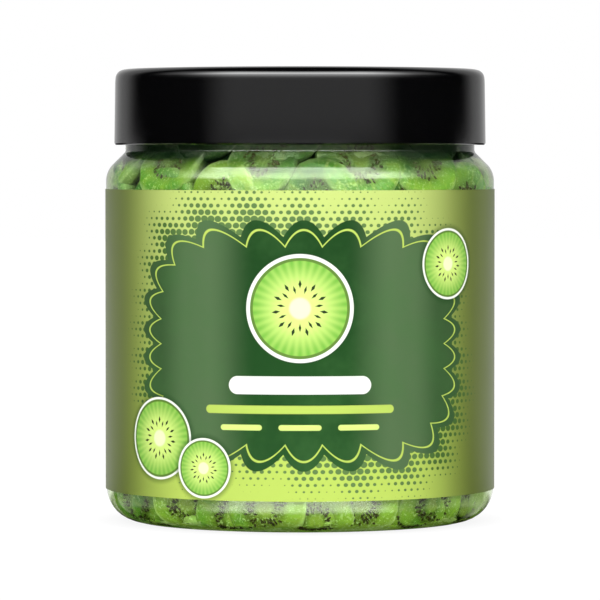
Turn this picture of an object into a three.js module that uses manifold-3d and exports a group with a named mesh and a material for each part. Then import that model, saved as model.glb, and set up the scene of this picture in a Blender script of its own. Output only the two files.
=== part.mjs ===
// A shut, clear plastic screw-top jar in a printed wrap label, filled with dried kiwi slices.
// Millimetres, +Z up. The origin is the centre of the foot, on the surface that the jar stands on.
import * as THREE from "three";
import { mergeVertices } from "three/addons/utils/BufferGeometryUtils.js";
import Module from "manifold-3d";

const wasm = await Module();
wasm.setup();

// Driving dimensions of the jar
const BODY_RADIUS = 53.8; // outside of the straight wall
const NECK_RADIUS = 48.4; // outside of the neck
const WALL = 1.2; // plastic thickness
const FOOT_CORNER = 9.4; // radius of the rounded corner between foot and wall
const FOOT_RING = 37; // inner radius of the flat ring that the jar stands on
const PUSH_UP = 2.4; // rise of the foot's middle
const SHOULDER_START = 94.4; // height where the wall begins to turn in
const SHOULDER_BEND = 5.8; // radius of that turn
const SHOULDER_SLOPE = 45; // degrees
const NECK_BEND = 2; // radius of the turn from the slope into the neck
const RIM_HEIGHT = 123.1; // top of the mouth, just under the lid's inside

// Driving dimensions of the lid
const LID_RADIUS = 51.5; // at the open end
const LID_DRAFT = 0.3; // how much narrower it is at the top
const LID_BOTTOM = 104.1;
const LID_TOP = 125;
const LID_WALL = 1.5;
const LID_EDGE = 2.4; // radius of the rounded top edge
const LID_LIP = 0.4; // chamfer round the open end

// Driving dimensions of the label, a sleeve a hair clear of the wall
const LABEL_CLEARANCE = 0.1;
const LABEL_THICKNESS = 0.2;
const LABEL_BOTTOM = 9;
const LABEL_TOP = 91.9;

// Driving dimensions of the dried slices
const SLICE_LENGTH = [21, 25];
const SLICE_ROUNDNESS = [0.84, 0.98]; // width over length
const SLICE_THICKNESS = [4.2, 5.4];
const HEAP_CLEARANCE = 0.3; // between the fruit and the plastic
const HEAP_CORE_RADIUS = 47.2; // behind the label
const HEAP_NECK_RADIUS = 43; // behind the neck
const HEAP_CORE_TOP = 120; // just under the lid

const TURNED_SIDES = 64; // facets round the jar, lid and label
const SLICE_SIDES = 9;
const HEAP_TOLERANCE = 0.1; // slivers left by joining and trimming are merged up to this
const HEAP_SIDES = 32; // facets round the heap's core and its room, every second one of the jar's

const radians = THREE.MathUtils.degToRad;
const point = (radius, height) => new THREE.Vector2(radius, height);

// Points along an arc in the turning plane; angles in degrees, 0 pointing outwards and 90 up
function arc(centre, radius, from, to, steps) {
  return Array.from({ length: steps + 1 }, (_, i) => {
    const angle = radians(from + ((to - from) * i) / steps);
    return point(
      centre.x + radius * Math.cos(angle),
      centre.y + radius * Math.sin(angle),
    );
  });
}

// A closed turned body about the Z axis, its profile running up the outside and back down the inside
function turned(profile, sides) {
  const geometry = new THREE.LatheGeometry(profile, sides);
  geometry.deleteAttribute("normal");
  geometry.deleteAttribute("uv");
  return mergeVertices(geometry, 1e-4).rotateX(Math.PI / 2);
}

// The line of the jar's outside, moved in by inset, from the middle of the foot to the top of the neck
function jarLine(inset, top) {
  const foot = [0, 12, 25, FOOT_RING].map((radius) =>
    point(
      radius,
      inset + (PUSH_UP / 2) * (1 + Math.cos((Math.PI * radius) / FOOT_RING)),
    ),
  );
  const corner = point(BODY_RADIUS - FOOT_CORNER, FOOT_CORNER);
  const shoulder = point(BODY_RADIUS - SHOULDER_BEND, SHOULDER_START);
  const slope = radians(SHOULDER_SLOPE);
  const neckX = NECK_RADIUS + NECK_BEND;
  const drop =
    BODY_RADIUS -
    NECK_RADIUS -
    (SHOULDER_BEND + NECK_BEND) * (1 - Math.cos(slope));
  const neckY =
    SHOULDER_START +
    (SHOULDER_BEND + NECK_BEND) * Math.sin(slope) +
    drop / Math.tan(slope);
  return [
    ...foot,
    ...arc(corner, FOOT_CORNER - inset, -90, 0, 4),
    ...arc(shoulder, SHOULDER_BEND - inset, 0, SHOULDER_SLOPE, 3),
    ...arc(
      point(neckX, neckY),
      NECK_BEND + inset,
      180 + SHOULDER_SLOPE,
      180,
      2,
    ),
    point(NECK_RADIUS - inset, top),
  ];
}

// The jar: one blown piece of even thickness, open at the mouth
function jarBody() {
  const outside = jarLine(0, RIM_HEIGHT);
  const inside = jarLine(WALL, RIM_HEIGHT).reverse();
  return turned([...outside, ...inside], TURNED_SIDES);
}

// The lid: a smooth cap with a rounded top edge, whose skirt hangs round the neck
function lid() {
  const topRadius = LID_RADIUS - LID_DRAFT;
  const inner = LID_RADIUS - LID_WALL;
  const edge = point(topRadius - LID_EDGE, LID_TOP - LID_EDGE);
  const profile = [
    point(inner, LID_BOTTOM),
    point(LID_RADIUS - LID_LIP, LID_BOTTOM),
    point(LID_RADIUS, LID_BOTTOM + LID_LIP),
    ...arc(edge, LID_EDGE, 0, 90, 4),
    point(0, LID_TOP),
    point(0, LID_TOP - LID_WALL),
    point(inner, LID_TOP - LID_WALL),
    point(inner, LID_BOTTOM),
  ];
  return turned(profile, TURNED_SIDES);
}

// The label: a thin sleeve round the straight wall
function label() {
  const inner = BODY_RADIUS + LABEL_CLEARANCE;
  const outer = inner + LABEL_THICKNESS;
  const profile = [
    point(inner, LABEL_BOTTOM),
    point(outer, LABEL_BOTTOM),
    point(outer, LABEL_TOP),
    point(inner, LABEL_TOP),
    point(inner, LABEL_BOTTOM),
  ];
  return turned(profile, TURNED_SIDES);
}

// Repeatable random draws, so that the heap is the same every time
let seed = 4711;
function draw(low, high) {
  seed = (seed * 16807) % 2147483647;
  return low + ((high - low) * seed) / 2147483647;
}

// One dried slice as a flat disc with a rounded, uneven rim, lying in XY about the origin
function sliceGeometry(length, width, thickness) {
  const layers = [
    { share: 0.86, height: -thickness / 2 },
    { share: 1, height: 0 },
    { share: 0.86, height: thickness / 2 },
  ];
  const bulges = Array.from({ length: SLICE_SIDES }, () => draw(0.94, 1.03));
  const positions = layers.flatMap(({ share, height }) =>
    bulges.flatMap((bulge, i) => {
      const angle = (2 * Math.PI * i) / SLICE_SIDES;
      const reach = (share * bulge) / 2;
      return [
        length * reach * Math.cos(angle),
        width * reach * Math.sin(angle),
        height,
      ];
    }),
  );
  const faces = [];
  for (let i = 0; i < SLICE_SIDES; i++) {
    const next = (i + 1) % SLICE_SIDES;
    for (const lower of [0, SLICE_SIDES]) {
      const upper = lower + SLICE_SIDES;
      faces.push(lower + i, lower + next, upper + next);
      faces.push(lower + i, upper + next, upper + i);
    }
    if (i > 0 && next > 0) {
      faces.push(0, next, i);
      faces.push(2 * SLICE_SIDES, 2 * SLICE_SIDES + i, 2 * SLICE_SIDES + next);
    }
  }
  return new THREE.BufferGeometry()
    .setAttribute(
      "position",
      new THREE.BufferAttribute(new Float32Array(positions), 3),
    )
    .setIndex(faces);
}

// Rings of slices that show through the plastic, from the foot up. lean is 0 for a slice that stands
// with its face to the wall, positive where its top leans in, and 90 where it lies flat.
const RINGS = [
  { count: 1, radius: 0, height: 5.8, lean: 90 },
  { count: 6, radius: 23, height: 4.2, lean: 90 },
  { count: 9, radius: 39, height: 4.4, lean: 84 },
  { count: 13, radius: 48.8, height: 8.6, lean: -14 },
  { count: 13, radius: 49.2, height: 89.5, lean: 3 },
  { count: 12, radius: 47.2, height: 99.6, lean: 24 },
];
const AROUND_JITTER = 0.16; // share of the step between neighbours
const HEIGHT_JITTER = 1.2;
const LEAN_JITTER = 7;
const YAW_JITTER = 9;

// The slices of one ring, each turned and moved to its place
function ringOfSlices({ count, radius, height, lean }, ringIndex) {
  const step = 360 / count;
  return Array.from({ length: count }, (_, i) => {
    const wander = count > 1 ? AROUND_JITTER * step : 0;
    const around = step * (i + (ringIndex % 2) / 2) + draw(-wander, wander);
    const up = height + draw(-HEIGHT_JITTER, HEIGHT_JITTER);
    const tilt = lean + draw(-LEAN_JITTER, LEAN_JITTER);
    const yaw = draw(-YAW_JITTER, YAW_JITTER);
    const spin = draw(0, 360);
    const length = draw(...SLICE_LENGTH);
    const width = length * draw(...SLICE_ROUNDNESS);
    const thickness = draw(...SLICE_THICKNESS);
    const place = new THREE.Matrix4()
      .makeTranslation(
        radius * Math.cos(radians(around)),
        radius * Math.sin(radians(around)),
        up,
      )
      .multiply(new THREE.Matrix4().makeRotationZ(radians(around + yaw)))
      .multiply(new THREE.Matrix4().makeRotationY(radians(90 - tilt)))
      .multiply(new THREE.Matrix4().makeRotationZ(radians(spin)));
    return sliceGeometry(length, width, thickness).applyMatrix4(place);
  });
}

// A closed geometry as a solid that can be joined and cut, and back again
function solid(geometry) {
  return new wasm.Manifold(
    new wasm.Mesh({
      numProp: 3,
      vertProperties: geometry.attributes.position.array,
      triVerts: new Uint32Array(geometry.index.array),
    }),
  );
}
function geometryOf(shape) {
  const { vertProperties, triVerts } = shape.getMesh();
  return new THREE.BufferGeometry()
    .setAttribute("position", new THREE.BufferAttribute(vertProperties, 3))
    .setIndex(new THREE.BufferAttribute(triVerts, 1));
}

// The heap: a smaller core with the slices that show fused on, trimmed where they press on the plastic
function heap() {
  const inset = WALL + HEAP_CLEARANCE;
  const core = [
    point(0, inset + PUSH_UP + 1),
    point(HEAP_NECK_RADIUS, inset + PUSH_UP + 1),
    point(HEAP_CORE_RADIUS, LABEL_BOTTOM + 2),
    point(HEAP_CORE_RADIUS, LABEL_TOP - 3),
    point(HEAP_NECK_RADIUS, SHOULDER_START + 3),
    point(HEAP_NECK_RADIUS, HEAP_CORE_TOP - 4),
    point(HEAP_NECK_RADIUS - 5, HEAP_CORE_TOP),
    point(0, HEAP_CORE_TOP),
  ];
  const room = [...jarLine(inset, LID_TOP), point(0, LID_TOP)];
  const slices = RINGS.flatMap(ringOfSlices).map(solid);
  const joined = slices.reduce(
    (sum, slice) => sum.add(slice),
    solid(turned(core, HEAP_SIDES)),
  );
  const trimmed = joined.intersect(solid(turned(room, HEAP_SIDES)));
  return geometryOf(trimmed.asOriginal().simplify(HEAP_TOLERANCE));
}

const FINISHES = {
  jar: { color: 0xeef3ea, roughness: 0.05, transparent: true, opacity: 0.3 },
  lid: { color: 0x0b0b0c, roughness: 0.25 },
  label: { color: 0xb9d35c, roughness: 0.4 },
  slices: { color: 0x6fae35, roughness: 0.45 },
};

const group = new THREE.Group();
for (const [name, make] of Object.entries({
  jar: jarBody,
  lid,
  label,
  slices: heap,
})) {
  const material = new THREE.MeshStandardMaterial({
    metalness: 0,
    ...FINISHES[name],
  });
  const mesh = new THREE.Mesh(make(), material);
  mesh.name = name;
  group.add(mesh);
}

export default group;
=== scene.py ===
"""A shut, clear plastic jar with a black screw lid and a printed wrap label, full of dried kiwi slices."""

import math
import random
from functools import partial

import bmesh
import bpy
from mathutils import Matrix, Vector, noise


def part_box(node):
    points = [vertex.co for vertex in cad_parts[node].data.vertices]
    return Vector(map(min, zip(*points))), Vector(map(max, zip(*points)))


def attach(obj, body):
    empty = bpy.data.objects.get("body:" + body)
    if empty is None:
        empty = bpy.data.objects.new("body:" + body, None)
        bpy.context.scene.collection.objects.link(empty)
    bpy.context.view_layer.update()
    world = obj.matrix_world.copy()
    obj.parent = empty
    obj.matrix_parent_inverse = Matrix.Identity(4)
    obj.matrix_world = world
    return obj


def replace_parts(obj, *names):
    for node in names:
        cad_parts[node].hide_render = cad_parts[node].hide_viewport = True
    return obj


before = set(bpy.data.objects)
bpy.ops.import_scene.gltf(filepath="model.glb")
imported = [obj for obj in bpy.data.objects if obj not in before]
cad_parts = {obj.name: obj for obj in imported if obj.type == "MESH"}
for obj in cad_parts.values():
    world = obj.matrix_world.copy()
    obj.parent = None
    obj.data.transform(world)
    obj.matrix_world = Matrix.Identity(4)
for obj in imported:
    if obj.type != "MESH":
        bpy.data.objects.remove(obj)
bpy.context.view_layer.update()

# Camera
# Far back and level with the lower edge of the lid, so that the jar's sides stand upright and the rims
# curve only a little.
MM = 0.001
CAMERA_DISTANCE = 1244 * MM
CAMERA_HEIGHT = 102.1 * MM
AIM_HEIGHT = 61 * MM
FRAME_WIDTH = 166.8 * MM  # what the picture takes in at the jar's axis

camera_data = bpy.data.cameras.new("camera")
camera = bpy.data.objects.new("camera", camera_data)
bpy.context.scene.collection.objects.link(camera)
camera.location = (0, -CAMERA_DISTANCE, CAMERA_HEIGHT)
camera_line = Vector((0, 0, AIM_HEIGHT)) - camera.location
camera.rotation_euler = camera_line.to_track_quat("-Z", "Y").to_euler()
camera_data.lens = camera_data.sensor_width * camera_line.length / FRAME_WIDTH
bpy.context.scene.camera = camera

# Jar
# One blown piece of clear plastic with an even wall. Its foot is pushed up in the middle and stands on a
# ring, and its shoulder slopes in to the neck that takes the lid.
JAR_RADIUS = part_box("jar")[1].x
JAR_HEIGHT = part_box("jar")[1].z
JAR_WALL = 1.2 * MM
NECK_RADIUS = 48.4 * MM
NECK_BEND = 1.2 * MM
SHOULDER_BEND = 5.8 * MM
SLOPE_BOTTOM = 96.8 * MM  # where the 45 degree slope meets the wall, before the turn is rounded
SLOPE_TOP = SLOPE_BOTTOM + JAR_RADIUS - NECK_RADIUS
FOOT_CORNER = 9.4 * MM
PUSH_UP = 2.4 * MM
PUSH_UP_TOP = 7 * MM  # radius of the flat in the middle of the foot
PUSH_UP_BOTTOM = 30 * MM  # radius where the foot reaches the ground
PUSH_UP_BEND = 20 * MM
BLOWN_RIPPLE = 0.1 * MM
PLASTIC_TINT = (0.95, 0.98, 0.94)
LAMP_TINT = (0.9, 0.94, 0.88)  # what the wall lets through of a lamp's light
DEPTH_TINT, DEPTH_TINT_DENSITY = (0.74, 0.95, 0.3), 240
TURNED_STEPS = 160


def turned(corners, segments, steps):
    """A shell turned about Z from a line of (radius, height, rounding) corners with an end on the axis."""
    points = [Vector((radius, 0, height)) for radius, height, _ in corners]
    points += [Vector((0, 0, p.z)) for p in (points[0], points[-1]) if p.x > 0]
    bm = bmesh.new()
    verts = [bm.verts.new(p) for p in points]
    bm.faces.new(verts)
    for i, (_, _, rounding) in enumerate(corners):
        if rounding:
            back = points[i - 1] - points[i]
            ahead = points[(i + 1) % len(points)] - points[i]
            bmesh.ops.bevel(
                bm,
                geom=[verts[i]],
                offset=rounding * math.tan((math.pi - back.angle(ahead)) / 2),
                segments=segments,
                profile=0.5,
                affect="VERTICES",
                material=-1,
            )
    closing = verts[len(corners) :]
    if closing:
        bmesh.ops.delete(bm, geom=closing, context="VERTS")
    else:
        axis = [e for e in bm.edges if not any(v.co.x for v in e.verts)]
        bmesh.ops.delete(bm, geom=axis, context="EDGES")
    bmesh.ops.spin(
        bm,
        geom=bm.verts[:] + bm.edges[:],
        axis=(0, 0, 1),
        angle=math.tau,
        steps=steps,
        use_merge=True,
    )
    bmesh.ops.remove_doubles(bm, verts=bm.verts[:], dist=0.001 * MM)
    bmesh.ops.recalc_face_normals(bm, faces=bm.faces[:])
    return bm


def finished(name, bm, material):
    """The finished bmesh as an object of the scene."""
    mesh = bpy.data.meshes.new(name)
    bm.to_mesh(mesh)
    bm.free()
    mesh.materials.append(material)
    made = bpy.data.objects.new(name, mesh)
    bpy.context.scene.collection.objects.link(made)
    return made


def piece(name, bm, material, crease=35):
    """A finished piece that rides on the jar, smooth-shaded, with creases past those degrees kept sharp."""
    made = finished(name, bm, material)
    made.data.polygons.foreach_set("use_smooth", [True] * len(made.data.polygons))
    made.data.set_sharp_from_angle(angle=math.radians(crease))
    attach(made, "root")
    return made


def new_material(name):
    """An empty node material, with its Principled shader and its output node."""
    material = bpy.data.materials.new(name)
    material.use_nodes = True
    tree = material.node_tree
    return material, tree, tree.nodes["Principled BSDF"], tree.nodes["Material Output"]


def put(tree, value, socket):
    """A value on a socket, or a link to it where the value is an output."""
    if isinstance(value, bpy.types.NodeSocket):
        tree.links.new(value, socket)
    elif socket.type == "RGBA":
        socket.default_value = (*value, 1)
    else:
        socket.default_value = value


def object_place(tree):
    """The Object coordinates of the point that is shaded."""
    return tree.nodes.new("ShaderNodeTexCoord").outputs["Object"]


def maths(tree, operation, *values):
    """The result of a Math node."""
    node = tree.nodes.new("ShaderNodeMath")
    node.operation = operation
    for value, socket in zip(values, node.inputs):
        put(tree, value, socket)
    return node.outputs[0]


def vector_maths(tree, operation, *values):
    """The result of a Vector Math node."""
    node = tree.nodes.new("ShaderNodeVectorMath")
    node.operation = operation
    sockets = [node.inputs["Vector"], node.inputs["Scale"]] if operation == "SCALE" else node.inputs
    for value, socket in zip(values, sockets):
        put(tree, value, socket)
    return node.outputs["Value" if operation == "LENGTH" else "Vector"]


def step(tree, value, start, end):
    """0 at start and 1 at end, with a soft step between."""
    node = tree.nodes.new("ShaderNodeMapRange")
    node.interpolation_type = "SMOOTHSTEP"
    for socket, given_value in zip(node.inputs, (value, start, end)):
        put(tree, given_value, socket)
    return node.outputs["Result"]


def mixed(tree, share, first, second):
    """The first colour, with a share of the second in its place."""
    node = tree.nodes.new("ShaderNodeMix")
    node.data_type = "RGBA"
    put(tree, share, node.inputs["Factor"])
    put(tree, first, node.inputs[6])
    put(tree, second, node.inputs[7])
    return node.outputs[2]


def grain(tree, vector, scale, detail=3, roughness=0.55):
    """The value of a Noise texture at vector."""
    node = tree.nodes.new("ShaderNodeTexNoise")
    for name, value in {"Vector": vector, "Scale": scale, "Detail": detail, "Roughness": roughness}.items():
        put(tree, value, node.inputs[name])
    return node.outputs["Fac"]


def bump(tree, height, distance, strength=1):
    """A Bump node's normal over height."""
    node = tree.nodes.new("ShaderNodeBump")
    for name, value in {"Height": height, "Distance": distance, "Strength": strength}.items():
        put(tree, value, node.inputs[name])
    return node.outputs["Normal"]


def mixed_shader(tree, share, first, second):
    """The first shader, with a share of the second in its place."""
    node = tree.nodes.new("ShaderNodeMixShader")
    for value, socket in zip((share, first, second), node.inputs):
        put(tree, value, socket)
    return node.outputs[0]


jar_plastic, tree, plastic, plastic_out = new_material("clear_plastic")
put(tree, PLASTIC_TINT, plastic.inputs["Base Color"])
plastic.inputs["Roughness"].default_value = 0.05
plastic.inputs["IOR"].default_value = 1.46
plastic.inputs["Transmission Weight"].default_value = 1
ripple = grain(tree, object_place(tree), scale=60, detail=1)
put(tree, bump(tree, ripple, BLOWN_RIPPLE, strength=0.5), plastic.inputs["Normal"])
# lamps shine straight through the wall, and the camera sees it as real plastic
lamp_ray = tree.nodes.new("ShaderNodeLightPath").outputs["Is Shadow Ray"]
clear = tree.nodes.new("ShaderNodeBsdfTransparent")
put(tree, LAMP_TINT, clear.inputs["Color"])
wall_shader = mixed_shader(tree, lamp_ray, plastic.outputs[0], clear.outputs[0])
tree.links.new(wall_shader, plastic_out.inputs["Surface"])
tint = tree.nodes.new("ShaderNodeVolumeAbsorption")
put(tree, DEPTH_TINT, tint.inputs["Color"])
tint.inputs["Density"].default_value = DEPTH_TINT_DENSITY
tree.links.new(tint.outputs[0], plastic_out.inputs["Volume"])

jar_mesh = turned(
    [
        (0, PUSH_UP, 0),
        (PUSH_UP_TOP, PUSH_UP, PUSH_UP_BEND),
        (PUSH_UP_BOTTOM, 0, PUSH_UP_BEND),
        (JAR_RADIUS, 0, FOOT_CORNER),
        (JAR_RADIUS, SLOPE_BOTTOM, SHOULDER_BEND),
        (NECK_RADIUS, SLOPE_TOP, NECK_BEND),
        (NECK_RADIUS, JAR_HEIGHT, 0),
    ],
    segments=10,
    steps=TURNED_STEPS,
)
bmesh.ops.solidify(jar_mesh, geom=jar_mesh.faces[:], thickness=JAR_WALL)
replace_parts(piece("jar_wall", jar_mesh, jar_plastic), "jar")

# Slices
# Small kiwi slices, dried until they are firm, curled and a little sticky, with a pale core, a ring of
# black seeds and sugar on the rim. They lie as they fell, pressed flat where they meet the wall.
SLICE_LENGTH, SLICE_THICKNESS = (21, 25), (4.2, 5.4)  # least and most, in millimetres
SLICE_ROUNDNESS = (0.84, 0.98)
SLICE_SIDES = 9
SLICE_BULGES = (0.94, 1.03)  # how far out each side stands
SLICE_CURL, CURL_GRAIN = 0.5 * MM, 1.6
WRINKLE_DEPTH, WRINKLE_GRAIN, WRINKLE_STRETCH = 0.035, 5, 0.4  # the depth as a share of the slice
FACE_HEIGHT = 0.41  # of the middle of a slice's face, as a share of its thickness
# half the outline of a slice from the middle of its face to its rim: radius, height and rounding, as shares
SLICE_OUTLINE = [(0, FACE_HEIGHT, 0), (0.2, 0.45, 0.2), (0.5, 0.38, 0.4), (0.9, 0.5, 0.12), (1, 0.2, 0.1)]
RIM_START, LONG_EDGE = 0.93, 0.22  # longer edges inside the rim are cut in two
# rings of slices from the foot up: count, radius and height in millimetres, and lean in degrees, 0 standing
# and 90 lying flat
RINGS = [
    (1, 0, 5.8, 90),
    (6, 23, 4.2, 90),
    (9, 39, 4.4, 84),
    (13, 48.8, 8.6, -14),
    (13, 49.2, 89.5, 3),
    (12, 47.2, 99.6, 24),
]
# rings behind and between those, which fill the gaps
INNER_RINGS = [
    (12, 45.5, 17, -6),
    (13, 42.8, 93.5, 8),
    (12, 42.5, 101.5, 14),
    (13, 45.6, 109, 3),
    (12, 44.5, 80, 4),
    (12, 41.0, 9, 40),
    (13, 47.2, 4.2, -18),
    (10, 33.0, 3.4, 86),
]
AROUND_JITTER, HEIGHT_JITTER, LEAN_JITTER, YAW_JITTER = 0.16, 1.2, 7, 9
PRESS_DEPTH = 0.1 * MM  # how far a pressed slice reaches into the plastic
GLOOM_DEPTH = 7 * MM  # how deep in the heap the light is lost
LID_SHADE = (96 * MM, 100 * MM)  # heights between which the lid takes the light away
LID_GLOOM = (0.8, 1)  # of the light it takes, in front and at the sides
SIDE_TURN = (0.36, 0.62)  # in radians from the front, where the sides of the shoulder begin
SIDE_GLOOM = 0.12  # of the light those sides lack below the lid's shade
FOOT_HEIGHT = 20 * MM
FRONT_SHARE = 0.9  # a slice with this much of its way out to the front is a front one
# painted shade: slices at the sides take darker tones; each slice's tone is random within its range
TONES_WITH_PAINTED_SHADE = {"foot": (0.68, 1), "front": (0.6, 1), "sides": (0.15, 0.75)}  # from deep green to lime
SEEDS = 75
SEED_SIZE = Vector((0.7, 0.36, 0.25)) * MM  # half the length, width and thickness
SEED_GROWTH = (0.7, 1.15)
SEED_TAPER = 0.45
SEED_SWING = 0.5  # in radians, off the line to the middle of the slice
SEED_BED_PLACE = (0.2, 0.56, 0.36)  # nearest, farthest and most frequent, as shares of the slice's radius
SEED_GLOOM = 0.9  # no seed shows that lies darker than this
DRAW_FACTOR, DRAW_LIMIT = 16807, 2147483647

draw_state = 4711


def draw(low, high):
    """The next of a repeatable run of random numbers, the same run as the solid heap's."""
    global draw_state
    draw_state = draw_state * DRAW_FACTOR % DRAW_LIMIT
    return low + (high - low) * draw_state / DRAW_LIMIT


def ring_of_slices(ring_index, count, radius, height, lean):
    """The place, size and outline of every slice in a ring."""
    pitch = 360 / count
    wander = AROUND_JITTER * pitch if count > 1 else 0
    found = []
    for i in range(count):
        around = pitch * (i + ring_index % 2 / 2) + draw(-wander, wander)
        up = height + draw(-HEIGHT_JITTER, HEIGHT_JITTER)
        tilt = lean + draw(-LEAN_JITTER, LEAN_JITTER)
        yaw = draw(-YAW_JITTER, YAW_JITTER)
        spin = draw(0, 360)
        length = draw(*SLICE_LENGTH)
        width = length * draw(*SLICE_ROUNDNESS)
        thickness = draw(*SLICE_THICKNESS)
        bulges = [draw(*SLICE_BULGES) for _ in range(SLICE_SIDES)]
        angle = math.radians(around)
        where = Matrix.Translation((radius * math.cos(angle) * MM, radius * math.sin(angle) * MM, up * MM))
        where @= Matrix.Rotation(math.radians(around + yaw), 4, "Z")
        where @= Matrix.Rotation(math.radians(90 - tilt), 4, "Y")
        where @= Matrix.Rotation(math.radians(spin), 4, "Z")
        found.append((where, Vector((length, width, thickness)) * MM, bulges))
    return found


def shaped(co, size, bulges, lot):
    """A point of the round unit slice moved to the uneven slice that it stands for."""
    share = co.xy.length
    turn = math.atan2(co.y, co.x) / math.tau % 1 * SLICE_SIDES
    part = turn % 1
    blend = part * part * (3 - 2 * part)
    side = int(turn)
    bulge = bulges[side % SLICE_SIDES] * (1 - blend) + bulges[(side + 1) % SLICE_SIDES] * blend
    point = Vector((co.x * size.x / 2 * bulge, co.y * size.y / 2 * bulge, co.z * size.z))
    seed = Vector((lot * 37, lot * 11, 0))
    point.z += SLICE_CURL * share * share * noise.noise(seed + co * CURL_GRAIN)
    wrinkle = noise.noise(seed + Vector((co.x, co.y, co.z * WRINKLE_STRETCH)) * WRINKLE_GRAIN)
    return point * (1 + WRINKLE_DEPTH * wrinkle * share)


def part_way(value, start, end):
    """0 at start and 1 at end, and even between."""
    return min(1, max(0, (value - start) / (end - start)))


def inner_radius(height, wall):
    """The radius of the room inside the shoulder and neck, a wall in from the jar's outside."""
    slope = JAR_RADIUS + SLOPE_BOTTOM - height - wall * math.sqrt(2)
    return max(NECK_RADIUS - wall, min(JAR_RADIUS - wall, slope))


def foot_pull(height, wall):
    """How much narrower the room is at the foot's corner than above it."""
    below = max(0, FOOT_CORNER - height)
    reach = FOOT_CORNER - wall
    return reach - math.sqrt(max(0, reach * reach - below * below))


def gloom_at(point):
    """How much of the light the fruit in front and the lid above keep off a point of the heap."""
    depth = inner_radius(point.z, JAR_WALL) - foot_pull(point.z, JAR_WALL) - point.xy.length
    under_lid = part_way(point.z, *LID_SHADE)
    sideways = part_way(abs(math.atan2(point.x, -point.y)), *SIDE_TURN)
    lost = LID_GLOOM[0] * (1 - sideways) + LID_GLOOM[1] * sideways
    side = SIDE_GLOOM * sideways if point.z > FOOT_HEIGHT else 0
    return min(1, max(0, depth / GLOOM_DEPTH) + max(side, lost * under_lid))


def pressed(point, reach):
    """The point, brought back to the jar's inner wall where it would pass it."""
    wall = JAR_WALL - reach
    radius = point.xy.length
    height = point.z
    inner = min(radius, inner_radius(height, wall))
    ground = PUSH_UP * part_way(inner, PUSH_UP_BOTTOM, PUSH_UP_TOP)
    height = max(height, wall + ground)
    centre = JAR_RADIUS - FOOT_CORNER
    if inner > centre and height < FOOT_CORNER:
        off = Vector((inner - centre, height - FOOT_CORNER))
        off *= min(1, (FOOT_CORNER - wall) / off.length)
        inner, height = centre + off.x, FOOT_CORNER + off.y
    scale = inner / radius if radius else 1
    return Vector((point.x * scale, point.y * scale, height))


lower_outline = [(radius, -height, rounding) for radius, height, rounding in SLICE_OUTLINE]
unit_slice = turned(lower_outline + SLICE_OUTLINE[::-1], segments=2, steps=3 * SLICE_SIDES)
inside_rim = [e for e in unit_slice.edges if max(v.co.xy.length for v in e.verts) < RIM_START]
bmesh.ops.subdivide_edges(
    unit_slice,
    edges=[e for e in inside_rim if e.calc_length() > LONG_EDGE],
    cuts=1,
    use_grid_fill=True,
)
face_map = unit_slice.loops.layers.uv.new("slice_face")
for face in unit_slice.faces:
    for loop in face.loops:
        loop[face_map].uv = loop.vert.co.xy * 0.5 + Vector((0.5, 0.5))
unit_mesh = bpy.data.meshes.new("unit_slice")
unit_slice.to_mesh(unit_mesh)
unit_slice.free()

plans = [s for i, ring in enumerate(RINGS + INNER_RINGS) for s in ring_of_slices(i, *ring)]
# each slice keeps its own tone, darker at the sides as painted shade, and its gloom as values on its
# vertices
heap = bmesh.new()
heap.verts.layers.float.new("tone")
heap.verts.layers.float.new("gloom")
seeds = bmesh.new()
seed_form = bmesh.new()
bmesh.ops.create_icosphere(seed_form, subdivisions=1, radius=1)
for vert in seed_form.verts:
    vert.co.yz *= 1 - SEED_TAPER * max(0, vert.co.x)
seed_mesh = bpy.data.meshes.new("unit_seed")
seed_form.to_mesh(seed_mesh)
seed_form.free()
fruit_draws = random.Random(77)
for lot, (where, size, bulges) in enumerate(plans):
    lies = where.translation
    in_front = -lies.y > FRONT_SHARE * lies.xy.length
    # painted shade: a slice at the sides takes its tone from the darker range
    tone = fruit_draws.uniform(*TONES_WITH_PAINTED_SHADE["foot" if lies.z < FOOT_HEIGHT else "front" if in_front else "sides"])
    heap.from_mesh(unit_mesh)
    heap.verts.ensure_lookup_table()
    tone_layer = heap.verts.layers.float["tone"]
    gloom_layer = heap.verts.layers.float["gloom"]
    for vert in heap.verts[len(heap.verts) - len(unit_mesh.vertices) :]:
        vert.co = pressed(where @ shaped(vert.co, size, bulges, lot), PRESS_DEPTH)
        vert[tone_layer] = tone
        vert[gloom_layer] = gloom_at(vert.co)
    for _ in range(SEEDS):
        turn = fruit_draws.uniform(0, math.tau)
        share = fruit_draws.triangular(*SEED_BED_PLACE)
        on_face = Vector((math.cos(turn), math.sin(turn), 0)) * share + Vector((0, 0, FACE_HEIGHT))
        centre = pressed(where @ shaped(on_face, size, bulges, lot), PRESS_DEPTH)
        if gloom_at(centre) > SEED_GLOOM:
            continue
        swing = fruit_draws.uniform(-SEED_SWING, SEED_SWING)
        lie = where.to_3x3() @ Matrix.Rotation(turn + math.pi + swing, 3, "Z")
        grown = SEED_SIZE * fruit_draws.uniform(*SEED_GROWTH)
        seeds.from_mesh(seed_mesh)
        seeds.verts.ensure_lookup_table()
        for vert in seeds.verts[len(seeds.verts) - len(seed_mesh.vertices) :]:
            vert.co = centre + lie @ (vert.co * grown)
bpy.data.meshes.remove(unit_mesh)
bpy.data.meshes.remove(seed_mesh)

# the pattern of a cut kiwi on the slice's own face: core, seed bed, flesh with rays, and sugared rim
LIME_FLESH, GREEN_FLESH, DEEP_FLESH = (0.32, 0.48, 0.07), (0.11, 0.3, 0.04), (0.02, 0.13, 0.035)
PALE_CORE, SEED_BED, SUGAR = (0.42, 0.5, 0.1), (0.07, 0.075, 0.012), (0.75, 0.9, 0.5)
GLOOM_SHADE = (0.004, 0.016, 0.007)
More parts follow.
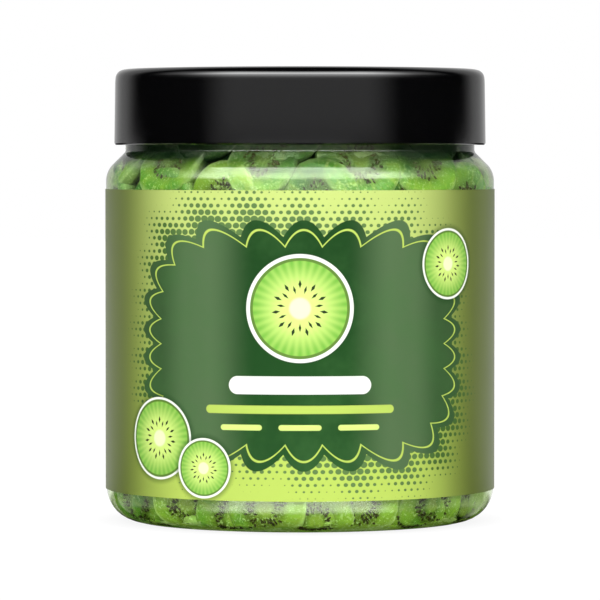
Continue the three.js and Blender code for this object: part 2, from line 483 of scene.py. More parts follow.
# where each soft edge starts and ends, as shares of the slice's radius
CORE_EDGE, BED_INNER_EDGE, BED_OUTER_EDGE, RIM_EDGE = (0.26, 0.12), (0.14, 0.3), (0.66, 0.4), (0.9, 1.0)
EDGE_WOBBLE = 0.16
FIBRE_TURN, FIBRE_SHIFT = 4.0, (90, 90, 90)  # how fast the fibres change round a face, and over the heap
PATCH_SWING = 2.2  # how far the tone of one slice wanders
FRUIT_ROUGHNESS, SUGAR_ROUGHNESS = 0.32, 0.25  # and what a grain of sugar adds
face_group = bpy.data.node_groups.new("kiwi_cut_face", "ShaderNodeTree")
face_group.interface.new_socket("Tone", in_out="INPUT", socket_type="NodeSocketFloat")
face_group.interface.new_socket("Gloom", in_out="INPUT", socket_type="NodeSocketFloat")
face_group.interface.new_socket("Color", in_out="OUTPUT", socket_type="NodeSocketColor")
face_group.interface.new_socket("Roughness", in_out="OUTPUT", socket_type="NodeSocketFloat")
face_group.interface.new_socket("Height", in_out="OUTPUT", socket_type="NodeSocketFloat")
tree = face_group
calc = partial(maths, tree)
given = tree.nodes.new("NodeGroupInput")
result = tree.nodes.new("NodeGroupOutput")
flat = tree.nodes.new("ShaderNodeUVMap")
flat.uv_map = "slice_face"
centred = vector_maths(tree, "MULTIPLY_ADD", flat.outputs[0], (2, 2, 0), (-1, -1, 0))
solid_place = object_place(tree)
share = vector_maths(tree, "LENGTH", centred)
wobble = calc("SUBTRACT", grain(tree, solid_place, scale=160, detail=2), 0.5)
share = calc("MULTIPLY_ADD", wobble, EDGE_WOBBLE, share)
# fibres that run out from the middle: this grain changes fast round a face and slowly along its radius
outwards = vector_maths(tree, "SCALE", vector_maths(tree, "NORMALIZE", centred), FIBRE_TURN)
ray_place = vector_maths(tree, "MULTIPLY_ADD", solid_place, FIBRE_SHIFT, outwards)
rays = grain(tree, ray_place, scale=1.6, detail=4, roughness=0.7)
# grains of sugar, closer together where they have crusted
crusted = step(tree, grain(tree, solid_place, scale=120, detail=2), 0.38, 0.62)
sugar_grain = grain(tree, solid_place, scale=1450, detail=2)
specks = step(tree, calc("MULTIPLY_ADD", crusted, 0.06, sugar_grain), 0.6, 0.68)
patches = grain(tree, solid_place, scale=55, detail=3)
patches = calc("MULTIPLY_ADD", patches, PATCH_SWING, -PATCH_SWING / 2)
tone = calc("ADD", given.outputs["Tone"], patches)
colour = mixed(tree, step(tree, tone, 0.0, 0.4), DEEP_FLESH, GREEN_FLESH)
colour = mixed(tree, step(tree, tone, 0.4, 0.95), colour, LIME_FLESH)
bright_ray = calc("MULTIPLY", step(tree, rays, 0.5, 0.66), 0.5)
colour = mixed(tree, bright_ray, colour, PALE_CORE)
core = step(tree, share, *CORE_EDGE)
colour = mixed(tree, calc("MULTIPLY", core, 0.6), colour, PALE_CORE)
bed = calc("MULTIPLY", step(tree, share, *BED_INNER_EDGE), step(tree, share, *BED_OUTER_EDGE))
bed = calc("MULTIPLY", bed, step(tree, rays, 0.78, 0.42))
colour = mixed(tree, calc("MULTIPLY", bed, 0.68), colour, SEED_BED)
rim = step(tree, share, *RIM_EDGE)
sugared = calc("ADD", calc("MULTIPLY", rim, 0.4), calc("MULTIPLY", specks, 0.5))
colour = mixed(tree, sugared, colour, SUGAR)
colour = mixed(tree, given.outputs["Gloom"], colour, GLOOM_SHADE)
tree.links.new(colour, result.inputs["Color"])
roughness = calc("MULTIPLY_ADD", specks, SUGAR_ROUGHNESS, FRUIT_ROUGHNESS)
tree.links.new(roughness, result.inputs["Roughness"])
relief = calc("ADD", calc("MULTIPLY", rays, 0.7), calc("MULTIPLY", specks, 0.3))
tree.links.new(relief, result.inputs["Height"])

FIBRE_RELIEF = 0.35 * MM
GLOW_DEPTH = 1.3 * MM  # how deep light soaks into the flesh
flesh_material, tree, flesh, _ = new_material("dried_kiwi_flesh")
pattern = tree.nodes.new("ShaderNodeGroup")
pattern.node_tree = face_group
for layer_name in ("tone", "gloom"):
    layer_read = tree.nodes.new("ShaderNodeAttribute")
    layer_read.attribute_name = layer_name
    tree.links.new(layer_read.outputs["Fac"], pattern.inputs[layer_name.title()])
tree.links.new(pattern.outputs["Color"], flesh.inputs["Base Color"])
tree.links.new(pattern.outputs["Roughness"], flesh.inputs["Roughness"])
put(tree, bump(tree, pattern.outputs["Height"], FIBRE_RELIEF, strength=0.8), flesh.inputs["Normal"])
flesh.inputs["Subsurface Weight"].default_value = 0.2
flesh.inputs["Subsurface Radius"].default_value = (0.7, 1, 0.25)
flesh.inputs["Subsurface Scale"].default_value = GLOW_DEPTH

BLACK_SEED, BROWN_SEED = (0.01, 0.008, 0.004), (0.06, 0.045, 0.015)
seed_material, tree, seed_shader, _ = new_material("kiwi_seed")
seed_grain = grain(tree, object_place(tree), scale=300, detail=1)
tree.links.new(mixed(tree, seed_grain, BLACK_SEED, BROWN_SEED), seed_shader.inputs["Base Color"])
seed_shader.inputs["Roughness"].default_value = 0.3

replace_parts(piece("kiwi_slices", heap, flesh_material, 60), "slices")
piece("kiwi_seeds", seeds, seed_material, 180)

# Heap core
# The slices deeper in the jar, of which nothing shows but a lump between those in front, coloured
# near-black green as painted shade. It reaches farthest out at the foot, and narrows under the label and
# again at the shoulder.
HIDDEN_STEPS = 96
CORE_RADIUS = 47.2 * MM
CORE_FOOT_RADIUS = 49.5 * MM
CORE_NECK_RADIUS = 43 * MM
CORE_BOTTOM = 1.9 * MM
CORE_FOOT_TOP = CORE_BOTTOM + 8.5 * MM
CORE_WAIST = CORE_BOTTOM + 13 * MM
CORE_SHOULDER = SLOPE_BOTTOM - 8 * MM
CORE_TOP = 120 * MM
CORE_FOOT_BEND = 8 * MM
CORE_BEND = 4 * MM
CORE_LUMP, CORE_LUMP_GRAIN = 1 * MM, 90
# painted shade: near-black greens for slices that lie in the heap's shadow
CORE_PAINTED_SHADE = (0.003, 0.01, 0.005), (0.012, 0.05, 0.015)
core_mesh = turned(
    [
        (0, CORE_BOTTOM + PUSH_UP, 0),
        (PUSH_UP_BOTTOM, CORE_BOTTOM, PUSH_UP_BEND),
        (CORE_FOOT_RADIUS, CORE_BOTTOM, CORE_FOOT_BEND),
        (CORE_FOOT_RADIUS, CORE_FOOT_TOP, 0.1 * CORE_BEND),
        (CORE_RADIUS, CORE_WAIST, 0.5 * CORE_BEND),
        (CORE_RADIUS, CORE_SHOULDER, CORE_BEND),
        (CORE_NECK_RADIUS, SLOPE_BOTTOM, CORE_BEND),
        (CORE_NECK_RADIUS, CORE_TOP, CORE_BEND),
        (0, CORE_TOP, 0),
    ],
    segments=3,
    steps=HIDDEN_STEPS,
)
for vert in core_mesh.verts:
    vert.co -= vert.normal * CORE_LUMP * (0.5 + 0.5 * noise.noise(vert.co * CORE_LUMP_GRAIN))
core_material, tree, core_shader, _ = new_material("heap_core_painted_shade")
core_grain = grain(tree, object_place(tree), scale=130, detail=3)
tree.links.new(mixed(tree, core_grain, *CORE_PAINTED_SHADE), core_shader.inputs["Base Color"])
core_shader.inputs["Roughness"].default_value = 0.6
piece("heap_core", core_mesh, core_material)

# Lid
# A smooth black cap, moulded with a rounded top edge, a slightly wider open end and a small lip there.
LID_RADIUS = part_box("lid")[1].x
LID_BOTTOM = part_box("lid")[0].z
LID_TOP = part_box("lid")[1].z
LID_LIP = 0.4 * MM
LID_LIP_BEND = 0.3 * MM
LID_DRAFT = 0.25 * MM
LID_WALL = 1.5 * MM
# the rounded top edge, in millimetres: in from the side, down from the top, and rounding
LID_EDGE = [(0, 3.2, 12), (0.2, 1.6, 2.2), (1, 0.55, 2), (2.4, 0, 4)]
LID_BLACK = (0.0015, 0.0015, 0.0017)
LID_GLOSS, LID_GLOSS_SWING = 0.085, 0.05  # the least roughness, and what the grain adds
LID_GRAIN = 0.01 * MM
lid_material, tree, lid_shader, _ = new_material("black_lid_plastic")
put(tree, LID_BLACK, lid_shader.inputs["Base Color"])
lid_shader.inputs["IOR"].default_value = 1.6
lid_grain = grain(tree, object_place(tree), scale=900, detail=4, roughness=0.7)
lid_roughness = maths(tree, "MULTIPLY_ADD", lid_grain, LID_GLOSS_SWING, LID_GLOSS)
tree.links.new(lid_roughness, lid_shader.inputs["Roughness"])
put(tree, bump(tree, lid_grain, LID_GRAIN, strength=0.3), lid_shader.inputs["Normal"])
lid_lip = [(LID_RADIUS - LID_LIP, LID_BOTTOM, 0), (LID_RADIUS, LID_BOTTOM + LID_LIP, LID_LIP_BEND)]
lid_edge = [
    (LID_RADIUS - LID_DRAFT - inward * MM, LID_TOP - down * MM, rounding * MM)
    for inward, down, rounding in LID_EDGE
]
lid_mesh = turned(lid_lip + lid_edge + [(0, LID_TOP, 0)], segments=8, steps=TURNED_STEPS)
bmesh.ops.solidify(lid_mesh, geom=lid_mesh.faces[:], thickness=LID_WALL)
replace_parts(piece("lid_cap", lid_mesh, lid_material), "lid")

# Label
# A printed film wrapped once round the straight wall, with its end glued over its start at the back. The
# print is plain: a dark scalloped field on lime, a cut slice in a ring, bars, and dots that fade outwards.
# The olive towards its sides is painted shade, and the lighter bands of the field beside its middle a
# painted sheen.
LABEL_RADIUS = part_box("label")[1].x
LABEL_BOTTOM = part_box("label")[0].z
LABEL_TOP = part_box("label")[1].z
LABEL_FILM = 0.05 * MM
LABEL_LAP = 2.5 * MM  # how far each end goes past the seam at the back
LAP_RISE = 2.5  # the film starts to rise this many laps short of the seam, and has risen a lap later
LAP_DROP = 1.4 * LABEL_FILM  # how much lower the rest of the film lies
FILM_WAVE = 0.15 * MM
LIME_INK, DARK_INK, WHITE_INK = (0.42, 0.56, 0.1), (0.006, 0.042, 0.006), (0.85, 0.88, 0.8)
MID_INK, PALE_INK, CREAM_INK = (0.16, 0.42, 0.05), (0.6, 0.78, 0.2), (0.78, 0.84, 0.5)
SKIN_INK, SEED_INK = (0.1, 0.2, 0.03), (0.012, 0.03, 0.008)
# painted shade: the olive ink darkens the label towards its sides
HIGH_LIME_INK, PAINTED_SIDE_SHADE_INK, BACK_INK = (0.46, 0.57, 0.16), (0.105, 0.14, 0.024), (0.28, 0.38, 0.07)
DOT_INK, END_DOT_INK = (0.09, 0.17, 0.05), (0.05, 0.115, 0.025)
# painted sheen: the faded ink lightens the dark field beside its middle, standing for a soft box's
# reflection
PAINTED_SHEEN_INK, BRUSHED_INK = (0.085, 0.15, 0.065), (0.045, 0.14, 0.035)
# the print in millimetres: x is the way round from the front, and z the height
INK_EDGE = 0.12
DOT_PITCH = 2.05
ROW_PITCH = 0.866 * DOT_PITCH
DOT_SHRINK, DOT_SWING = 0.085, 1.6  # per millimetre away from the field, and times the grain
FIELD = {"x": 1, "z": 50.5, "half_width": 45, "half_height": 29, "rounding": 20, "lobes": 26, "depth": 4.5}
LINE_INSET, LINE_HALF_WIDTH = 2.6, 0.28
# x, z, radius and white outline of each drawn slice
MAIN_SLICE = (0, 60.5, 13.5, 1.0)
SMALL_SLICES = [(-42, 25, 10.5, 0.6), (-27, 17.5, 7.5, 0.6), (45, 72, 9, 0.6)]
# x, z, half the length and radius of each bar
WHITE_BAR, LIME_BAR = (0, 40, 17, 2.4), (0, 33.5, 25, 1.1)
PALE_BARS = [(x, 28.7, 5, 0.75) for x in (-16, 0, 16)]
PANEL_X, PANEL_Z, PANEL_HALF_WIDTH, PANEL_HALF_HEIGHT, PANEL_CORNER = 118, 50.5, 30, 33, 6
PANEL_LINES = (22, 24, 17, 24, 20, 23, 12)  # half the length of each, from the top down
TOP_LINE, LINE_DROP, LINE_RADIUS = 74, 8, 0.8
SEAM_HALF_WIDTH = 0.7
# where each soft change of ink starts and ends, in height or in the way off the front
HIGH_LIME_RISE, SIDE_SHADE_START, BACK_START = (15, 85), (29, 61), (84, 130)
LIME_MIDDLE = -2
SHEEN_START, FIELD_END = (12, 26), (32, 42)
SHEEN_SHARE, END_SHEEN_SHARE = 0.85, 0.38
# a drawn slice: the width of its soft shadow, its rays and seeds, and places as shares of its radius
DRAWN_SHADOW, DRAWN_RAYS, DRAWN_SEEDS = 1.8, 34, 22
FLESH_SHARE, FLESH_FADE, CORE_FADE = 0.94, (0.3, 0.95), (0.25, 0.17)
SEED_RING, SEED_STAGGER, SEED_WIDTH, SEED_STRETCH, SEED_REACH = 0.38, 0.1, 0.22, 0.6, 0.052

print_group = bpy.data.node_groups.new("label_print_and_painted_shade", "ShaderNodeTree")
print_group.interface.new_socket("Color", in_out="OUTPUT", socket_type="NodeSocketColor")
print_group.interface.new_socket("Height", in_out="OUTPUT", socket_type="NodeSocketFloat")
tree = print_group
calc = partial(maths, tree)
result = tree.nodes.new("NodeGroupOutput")
label_place = object_place(tree)


def round_and_up(tree, place):
    """The angle of a place round from the front, in radians, and its height."""
    axes = tree.nodes.new("ShaderNodeSeparateXYZ")
    tree.links.new(place, axes.inputs[0])
    towards_front = maths(tree, "MULTIPLY", axes.outputs["Y"], -1)
    return maths(tree, "ARCTAN2", axes.outputs["X"], towards_front), axes.outputs["Z"]


print_turn, print_height = round_and_up(tree, label_place)
arc = calc("MULTIPLY", print_turn, LABEL_RADIUS / MM)
off_middle = calc("ABSOLUTE", arc)
rise = calc("MULTIPLY", print_height, 1 / MM)


def distance_to(x, z):
    """Millimetres from a point of the print, and the way there."""
    across, up = calc("SUBTRACT", arc, x), calc("SUBTRACT", rise, z)
    squares = calc("ADD", calc("MULTIPLY", across, across), calc("MULTIPLY", up, up))
    return calc("SQRT", squares), across, up


def inked(distance):
    """1 where a distance is below 0, with a soft edge."""
    return step(tree, distance, INK_EDGE, -INK_EDGE)


def bar(x, z, half_length, radius):
    """1 on a rounded bar of the print."""
    _, across, up = distance_to(x, z)
    past = calc("MAXIMUM", calc("SUBTRACT", calc("ABSOLUTE", across), half_length), 0)
    squares = calc("ADD", calc("MULTIPLY", past, past), calc("MULTIPLY", up, up))
    return inked(calc("SUBTRACT", calc("SQRT", squares), radius))


def cut_slice(colour, x, z, radius, outline):
    """The colour with a drawn kiwi slice over it."""
    reach, across, up = distance_to(x, z)
    turn = calc("ARCTAN2", up, across)
    share = calc("MULTIPLY", reach, 1 / radius)
    edge = radius + outline
    shade = calc("MULTIPLY", step(tree, reach, edge + DRAWN_SHADOW, edge), 0.5)
    colour = mixed(tree, shade, colour, DARK_INK)
    colour = mixed(tree, inked(calc("SUBTRACT", reach, edge)), colour, WHITE_INK)
    colour = mixed(tree, inked(calc("SUBTRACT", reach, radius)), colour, SKIN_INK)
    flesh_ink = mixed(tree, step(tree, share, *FLESH_FADE), PALE_INK, MID_INK)
    ripple = calc("MULTIPLY_ADD", calc("COSINE", calc("MULTIPLY", turn, DRAWN_RAYS)), 0.12, 0.12)
    flesh_ink = mixed(tree, ripple, flesh_ink, PALE_INK)
    colour = mixed(tree, inked(calc("SUBTRACT", reach, radius * FLESH_SHARE)), colour, flesh_ink)
    slot = calc("MULTIPLY", turn, DRAWN_SEEDS / math.tau)
    stagger = calc("MULTIPLY", calc("FLOORED_MODULO", calc("FLOOR", slot), 2), radius * SEED_STAGGER)
    off_ring = calc("ABSOLUTE", calc("SUBTRACT", calc("SUBTRACT", reach, radius * SEED_RING), stagger))
    off_slot = calc("ABSOLUTE", calc("SUBTRACT", calc("FRACT", slot), 0.5))
    off_seed = calc("MULTIPLY_ADD", off_slot, radius * SEED_WIDTH, calc("MULTIPLY", off_ring, SEED_STRETCH))
    colour = mixed(tree, inked(calc("SUBTRACT", off_seed, radius * SEED_REACH)), colour, SEED_INK)
    return mixed(tree, step(tree, share, *CORE_FADE), colour, CREAM_INK)


def scalloped(x, z, half_width, half_height, rounding, lobes, depth):
    """Distance to the edge of a rounded field whose edge swells out in even lobes."""
    _, across, up = distance_to(x, z)
    past_side = calc("MAXIMUM", calc("SUBTRACT", calc("ABSOLUTE", across), half_width - rounding), 0)
    past_top = calc("MAXIMUM", calc("SUBTRACT", calc("ABSOLUTE", up), half_height - rounding), 0)
    squares = calc("ADD", calc("MULTIPLY", past_side, past_side), calc("MULTIPLY", past_top, past_top))
    turn = calc("ARCTAN2", up, calc("MULTIPLY", across, half_height / half_width))
    lobe = calc("ABSOLUTE", calc("SINE", calc("MULTIPLY", turn, lobes / 2)))
    off_rounding = calc("SUBTRACT", calc("SQRT", squares), rounding)
    return calc("SUBTRACT", off_rounding, calc("MULTIPLY", lobe, depth))


# lime in front, darkening to olive towards the sides as painted shade, and lighter again at the back
field_edge = scalloped(**FIELD)
ground = mixed(tree, step(tree, rise, *HIGH_LIME_RISE), LIME_INK, HIGH_LIME_INK)
off_lime = calc("ABSOLUTE", calc("SUBTRACT", arc, LIME_MIDDLE))
ground = mixed(tree, step(tree, off_lime, *SIDE_SHADE_START), ground, PAINTED_SIDE_SHADE_INK)
ground = mixed(tree, step(tree, off_lime, *BACK_START), ground, BACK_INK)
# staggered rows of dots that shrink away from the field
row = calc("MULTIPLY", rise, 1 / ROW_PITCH)
odd = calc("MULTIPLY", calc("FLOORED_MODULO", calc("FLOOR", row), 2), 0.5)
off_across = calc("SUBTRACT", calc("FRACT", calc("MULTIPLY_ADD", arc, 1 / DOT_PITCH, odd)), 0.5)
off_up = calc("SUBTRACT", calc("FRACT", row), 0.5)
squares = calc("ADD", calc("MULTIPLY", off_across, off_across), calc("MULTIPLY", off_up, off_up))
off_dot = calc("MULTIPLY", calc("SQRT", squares), DOT_PITCH)
dot_size = calc("MULTIPLY", grain(tree, label_place, scale=22, detail=1), DOT_SWING)
dot_size = calc("MULTIPLY_ADD", field_edge, -DOT_SHRINK, dot_size)
dots = inked(calc("SUBTRACT", off_dot, dot_size))
field_end = step(tree, off_middle, *FIELD_END)
colour = mixed(tree, dots, ground, mixed(tree, field_end, DOT_INK, END_DOT_INK))
# the field: darkest in the middle, with a painted sheen on both sides that weakens past its ends,
# and a thin line inside its edge
painted_sheen = calc("MULTIPLY_ADD", field_end, END_SHEEN_SHARE - SHEEN_SHARE, SHEEN_SHARE)
painted_sheen = calc("MULTIPLY", step(tree, off_middle, *SHEEN_START), painted_sheen)
brushed = grain(tree, label_place, scale=45, detail=4, roughness=0.7)
brushed = calc("MULTIPLY", step(tree, brushed, 0.4, 0.75), 0.3)
dark = mixed(tree, brushed, mixed(tree, painted_sheen, DARK_INK, PAINTED_SHEEN_INK), BRUSHED_INK)
colour = mixed(tree, inked(field_edge), colour, dark)
inner_line = calc("ABSOLUTE", calc("ADD", field_edge, LINE_INSET))
colour = mixed(tree, inked(calc("SUBTRACT", inner_line, LINE_HALF_WIDTH)), colour, LIME_INK)
colour = cut_slice(colour, *MAIN_SLICE)
colour = mixed(tree, bar(*WHITE_BAR), colour, WHITE_INK)
colour = mixed(tree, bar(*LIME_BAR), colour, LIME_INK)
for pale_bar in PALE_BARS:
    colour = mixed(tree, bar(*pale_bar), colour, PALE_INK)
for small_slice in SMALL_SLICES:
    colour = cut_slice(colour, *small_slice)
# two dark panels with plain lines at the back, under the field's weaker painted sheen, and the white
# edge of the film along the seam
off_panel = calc("ABSOLUTE", calc("SUBTRACT", off_middle, PANEL_X))
panel_side = calc("SUBTRACT", off_panel, PANEL_HALF_WIDTH)
panel_end = calc("SUBTRACT", calc("ABSOLUTE", calc("SUBTRACT", rise, PANEL_Z)), PANEL_HALF_HEIGHT)
colour = mixed(tree, inked(calc("SMOOTH_MAX", panel_side, panel_end, PANEL_CORNER)), colour, dark)
for i, half_length in enumerate(PANEL_LINES):
    off_line = calc("ABSOLUTE", calc("SUBTRACT", rise, TOP_LINE - LINE_DROP * i))
    past_end = calc("SUBTRACT", off_panel, half_length)
    line = inked(calc("MAXIMUM", past_end, calc("SUBTRACT", off_line, LINE_RADIUS)))
    colour = mixed(tree, line, colour, PALE_INK)
off_seam = calc("SUBTRACT", math.pi * LABEL_RADIUS / MM, off_middle)
colour = mixed(tree, inked(calc("SUBTRACT", off_seam, SEAM_HALF_WIDTH)), colour, WHITE_INK)
tree.links.new(colour, result.inputs["Color"])
film_grain = grain(tree, vector_maths(tree, "MULTIPLY", label_place, (30, 30, 8)), scale=1, detail=2)
tree.links.new(film_grain, result.inputs["Height"])

label_material, tree, label_shader, _ = new_material("printed_label")
artwork = tree.nodes.new("ShaderNodeGroup")
artwork.node_tree = print_group
tree.links.new(artwork.outputs["Color"], label_shader.inputs["Base Color"])
put(tree, bump(tree, artwork.outputs["Height"], FILM_WAVE, strength=0.6), label_shader.inputs["Normal"])
label_shader.inputs["Roughness"].default_value = 0.38
label_shader.inputs["Specular IOR Level"].default_value = 0.2
label_mesh = bmesh.new()
label_steps = 2 * TURNED_STEPS
end_turn = math.pi + LABEL_LAP / LABEL_RADIUS
strip = []
for i in range(label_steps + 1):
    turn = end_turn * (2 * i / label_steps - 1)
    lapped = min(1, max(0, (turn - math.pi) / (LABEL_LAP / LABEL_RADIUS) + LAP_RISE))
    radius = LABEL_RADIUS - LAP_DROP * (1 - lapped)
    strip.append(label_mesh.verts.new((radius * math.sin(turn), -radius * math.cos(turn), LABEL_BOTTOM)))
ends = [label_mesh.edges.new(pair) for pair in zip(strip, strip[1:])]
raised = bmesh.ops.extrude_edge_only(label_mesh, edges=ends)
risen = [v for v in raised["geom"] if isinstance(v, bmesh.types.BMVert)]
bmesh.ops.translate(label_mesh, verts=risen, vec=(0, 0, LABEL_TOP - LABEL_BOTTOM))
for face in label_mesh.faces:
    face.normal_update()
    if face.normal.dot(face.calc_center_median()) < 0:
        face.normal_flip()
bmesh.ops.solidify(label_mesh, geom=label_mesh.faces[:], thickness=LABEL_FILM)
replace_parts(piece("label_wrap", label_mesh, label_material), "label")

# Studio
# A white floor and soft light from the front, with dark sides that give the lid its black bands. Lamps
# light the matt surfaces, and what shines mirrors white cards, a hood and the room.
FLOOR_REACH = 4  # metres each way
FLOOR_GREY = (0.8, 0.8, 0.8)
FLOOR_WHITE, FOOT_SHADE = 0.89, 0.16  # the foot shades the white around it by up to so much
FOOT_SHADE_REACH = 12 * MM
FRONT_LIGHT = 0.5
SEEN_THROUGH = (66, 84)  # degrees off the front, past which light comes in through the jar's sides
# the cards on the floor: where they start and end, from the middle of the foot
FAR_CARD_START = (500 * MM, 1000 * MM)
NEAR_CARD_START, NEAR_CARD_END = (56 * MM, 60 * MM), (200 * MM, 70 * MM)
# and how far round from the front they reach, in radians, or where the one at the back starts, in degrees
FAR_CARD_SIDE, NEAR_CARD_SIDE, SIDE_CARD_SIDE = (1.1, 0.85), (0.65, 0.42), (1.7, 1.2)
REAR_CARD_START = (106, 126)
NEAR_CARD_LIGHT, SIDE_CARD_LIGHT, FLOOR_THROUGH_LIGHT = 4.0, 0.45, 0.75


def between(tree, value, start, end):
    """0 at start and 1 at end, both in degrees, with a soft step between."""
    return step(tree, value, math.radians(start), math.radians(end))


def seen_directly(tree, ray):
    """1 for the camera's own rays, also where they have only passed through the plastic."""
    straight = maths(tree, "LESS_THAN", ray.outputs["Glossy Depth"], 0.5)
    through = maths(tree, "MULTIPLY", ray.outputs["Is Transmission Ray"], straight)
    return maths(tree, "MAXIMUM", ray.outputs["Is Camera Ray"], through)


# to the camera the floor is white with a soft dark edge at the foot, reflections see the white cards that
# lie on it, and the rest of the light meets matt grey
floor_material, tree, floor_shader, floor_out = new_material("floor_white")
calc = partial(maths, tree)
put(tree, FLOOR_GREY, floor_shader.inputs["Base Color"])
floor_shader.inputs["Roughness"].default_value = 0.9
floor_shader.inputs["Specular IOR Level"].default_value = 0
near_foot = tree.nodes.new("ShaderNodeAmbientOcclusion")
near_foot.inputs["Distance"].default_value = FOOT_SHADE_REACH
white = tree.nodes.new("ShaderNodeEmission")
foot_white = calc("MULTIPLY_ADD", near_foot.outputs["AO"], FOOT_SHADE, FLOOR_WHITE)
tree.links.new(foot_white, white.inputs["Strength"])
floor_place = object_place(tree)
away = vector_maths(tree, "LENGTH", floor_place)
floor_side = calc("ABSOLUTE", round_and_up(tree, floor_place)[0])
far_card = calc("MULTIPLY", step(tree, away, *FAR_CARD_START), step(tree, floor_side, *FAR_CARD_SIDE))
by_foot = calc("MULTIPLY", step(tree, away, *NEAR_CARD_START), step(tree, away, *NEAR_CARD_END))
near_card = calc("MULTIPLY", by_foot, step(tree, floor_side, *NEAR_CARD_SIDE))
side_card = calc("MULTIPLY", by_foot, step(tree, floor_side, *SIDE_CARD_SIDE))
rear_card = between(tree, floor_side, *REAR_CARD_START)
card_light = calc("MULTIPLY_ADD", far_card, 0.5 * FRONT_LIGHT, rear_card)
card_light = calc("MULTIPLY_ADD", near_card, NEAR_CARD_LIGHT, card_light)
card_light = calc("MULTIPLY_ADD", side_card, SIDE_CARD_LIGHT, card_light)
ray = tree.nodes.new("ShaderNodeLightPath")
through = calc("MULTIPLY", between(tree, floor_side, *SEEN_THROUGH), FLOOR_THROUGH_LIGHT)
through = calc("MULTIPLY", through, ray.outputs["Is Transmission Ray"])
cards = tree.nodes.new("ShaderNodeEmission")
tree.links.new(calc("MAXIMUM", card_light, through), cards.inputs["Strength"])
not_matt = calc("MAXIMUM", ray.outputs["Is Glossy Ray"], ray.outputs["Is Transmission Ray"])
reflected = mixed_shader(tree, not_matt, floor_shader.outputs[0], cards.outputs[0])
direct = mixed_shader(tree, seen_directly(tree, ray), reflected, white.outputs[0])
tree.links.new(direct, floor_out.inputs["Surface"])
floor_mesh = bmesh.new()
bmesh.ops.create_grid(floor_mesh, x_segments=1, y_segments=1, size=FLOOR_REACH)
floor = finished("floor", floor_mesh, floor_material)

# a hood just above the shoulder, under the lid's edge, that only reflections see: white below, in front,
# and black on top, so that no light creeps in under the lid
HOOD_HOLE = 52 * MM
HOOD_RADIUS = 100 * MM
HOOD_TOP = 101.5 * MM
HOOD_BOTTOM = 88 * MM
HOOD_BEND = 6 * MM
HOOD_LIT_FROM = 98 * MM  # the height from which the white is in full light
WHITE_START = (52.9 * MM, 54.4 * MM)
BRIGHT_PART = (70 * MM, 54 * MM)
BLACK_PART = (70 * MM, 66 * MM)
WHITE_SIDE, WHITE_TURN = (0.54, 0.38), 0.05  # in radians
HOOD_LIGHT, HOOD_INNER_LIGHT = 3.2, 5.6  # and how much brighter it is round its hole
hood_material, tree, _, hood_out = new_material("shoulder_hood")
calc = partial(maths, tree)
hood_place = object_place(tree)
away = vector_maths(tree, "LENGTH", vector_maths(tree, "MULTIPLY", hood_place, (1, 1, 0)))
hood_turn, hood_height = round_and_up(tree, hood_place)
hood_side = calc("ABSOLUTE", calc("ADD", hood_turn, WHITE_TURN))
below = tree.nodes.new("ShaderNodeNewGeometry").outputs["Backfacing"]
hood_light = calc("MULTIPLY_ADD", step(tree, away, *BRIGHT_PART), HOOD_INNER_LIGHT, HOOD_LIGHT)
hood_light = calc("MULTIPLY", hood_light, step(tree, hood_height, HOOD_BOTTOM, HOOD_LIT_FROM))
hood_glow = tree.nodes.new("ShaderNodeEmission")
tree.links.new(calc("MULTIPLY", hood_light, below), hood_glow.inputs["Strength"])
white_below = calc("MULTIPLY", step(tree, away, *WHITE_START), step(tree, hood_side, *WHITE_SIDE))
white_below = calc("MULTIPLY", white_below, below)
black_top = calc("MULTIPLY", step(tree, away, *BLACK_PART), calc("SUBTRACT", 1, below))
nothing = tree.nodes.new("ShaderNodeBsdfTransparent")
shown = calc("MAXIMUM", white_below, black_top)
hood_shader = mixed_shader(tree, shown, nothing.outputs[0], hood_glow.outputs[0])
tree.links.new(hood_shader, hood_out.inputs["Surface"])
hood_mesh = turned(
    [(HOOD_HOLE, HOOD_TOP, 0), (HOOD_RADIUS, HOOD_TOP, HOOD_BEND), (HOOD_RADIUS, HOOD_BOTTOM, 0)],
    segments=4,
    steps=HIDDEN_STEPS,
)
hood = finished("shoulder_hood", hood_mesh, hood_material)
hood.visible_camera = hood.visible_diffuse = hood.visible_transmission = hood.visible_shadow = False

# the room: a soft front light, a bright band above it that only reflections see, and a dim back. All its
# edges are in degrees, round from the front or up from the floor.
FRONT_SIDE, FRONT_TOP = (66, 40), (56, 44)
BAND_BOTTOM, BAND_TOP, BAND_LIGHT = (8, 28), (60, 32), 9.5
BAND_ENDS = [(115, 70, 0.15), (85, 40, 0.85)]  # the band fades in two steps, with the share of each
BACK_PARTS = [(118, 140, 0.4), (140, 172, 0.2)]  # as the back light grows towards the middle
BACK_TOP = (60, 40)
ROOM_THROUGH_LIGHT = 0.25
world = bpy.data.worlds.new("studio")
bpy.context.scene.world = world
world.use_nodes = True
tree = world.node_tree
calc = partial(maths, tree)
room_turn, room_height = round_and_up(tree, tree.nodes.new("ShaderNodeTexCoord").outputs["Generated"])
sideways = calc("ABSOLUTE", room_turn)
upwards = calc("ARCSINE", room_height)


def in_parts(parts):
    """The sum of soft steps sideways, each of its own share."""
    total = 0
    for start, end, share in parts:
        total = calc("MULTIPLY_ADD", between(tree, sideways, start, end), share, total)
    return total


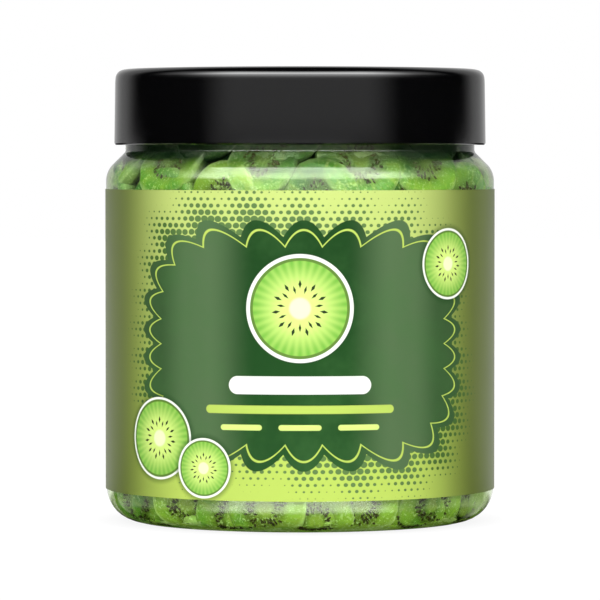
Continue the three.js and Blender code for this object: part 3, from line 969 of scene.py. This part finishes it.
path = tree.nodes.new("ShaderNodeLightPath")
front = calc("MULTIPLY", between(tree, sideways, *FRONT_SIDE), between(tree, upwards, *FRONT_TOP))
band = calc("MULTIPLY", between(tree, upwards, *BAND_BOTTOM), between(tree, upwards, *BAND_TOP))
band = calc("MULTIPLY", calc("MULTIPLY", band, in_parts(BAND_ENDS)), path.outputs["Is Glossy Ray"])
light = calc("MULTIPLY_ADD", band, BAND_LIGHT, calc("MULTIPLY", front, FRONT_LIGHT))
light = calc("MULTIPLY_ADD", in_parts(BACK_PARTS), between(tree, upwards, *BACK_TOP), light)
through = calc("MULTIPLY", between(tree, sideways, *SEEN_THROUGH), ROOM_THROUGH_LIGHT)
light = calc("MAXIMUM", light, calc("MULTIPLY", through, path.outputs["Is Transmission Ray"]))
# to the camera the room is plain white
strength = tree.nodes.new("ShaderNodeMix")
put(tree, seen_directly(tree, path), strength.inputs["Factor"])
put(tree, light, strength.inputs["A"])
put(tree, 1.0, strength.inputs["B"])
background = tree.nodes["Background"]
tree.links.new(strength.outputs[0], background.inputs["Strength"])
put(tree, (1, 1, 1), background.inputs["Color"])
world.cycles_visibility.diffuse = False


def soft_box(name, azimuth, elevation, distance, size, watts):
    """An area light, sized and placed in metres and degrees, that lights the jar's matt surfaces alone."""
    data = bpy.data.lights.new(name, "AREA")
    data.shape = "RECTANGLE"
    data.size, data.size_y = size
    data.energy = watts
    made = bpy.data.objects.new(name, data)
    bpy.context.scene.collection.objects.link(made)
    across, up = math.radians(azimuth), math.radians(elevation)
    way_out = Vector((math.sin(across) * math.cos(up), -math.cos(across) * math.cos(up), math.sin(up)))
    made.location = way_out * distance + Vector((0, 0, AIM_HEIGHT))
    made.rotation_euler = way_out.to_track_quat("Z", "Y").to_euler()
    made.visible_camera = made.visible_glossy = made.visible_transmission = False


soft_box("key", azimuth=0, elevation=30, distance=1.3, size=(1.3, 0.5), watts=21)
soft_box("fill", azimuth=0, elevation=80, distance=1.0, size=(0.8, 0.8), watts=1.5)
for name, azimuth in (("left", -65), ("right", 65)):
    soft_box(name, azimuth, elevation=0, distance=1.2, size=(0.4, 0.1), watts=3.8)
soft_box("rear", azimuth=180, elevation=30, distance=1.3, size=(0.6, 0.5), watts=7)
bpy.context.scene.view_settings.view_transform = "Standard"
